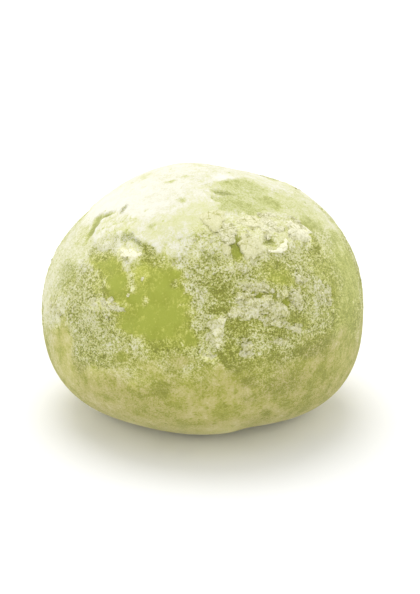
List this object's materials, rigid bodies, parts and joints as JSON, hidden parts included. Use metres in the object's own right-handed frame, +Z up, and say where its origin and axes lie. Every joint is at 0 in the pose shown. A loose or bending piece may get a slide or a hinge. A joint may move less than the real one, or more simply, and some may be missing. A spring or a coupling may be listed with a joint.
{
  "type": "mochi rice cake",
  "caption": "Soft round filled rice cake, green under patchy white starch crusts and crumbs, with a domed crown and a small flat underside.",
  "frame": {"origin": "on the flat underside, right under the middle of the box round the cake", "axes": "+Z up through the crown, -Y towards the front, +X to the right as seen from the front"},
  "size_m": [0.0522, 0.0504, 0.04],
  "materials": {
    "mochi": "soft matte rice dough under dry starch"
  },
  "bodies": {
    "root": {"mochi": "mochi"}
  },
  "joints": []
}
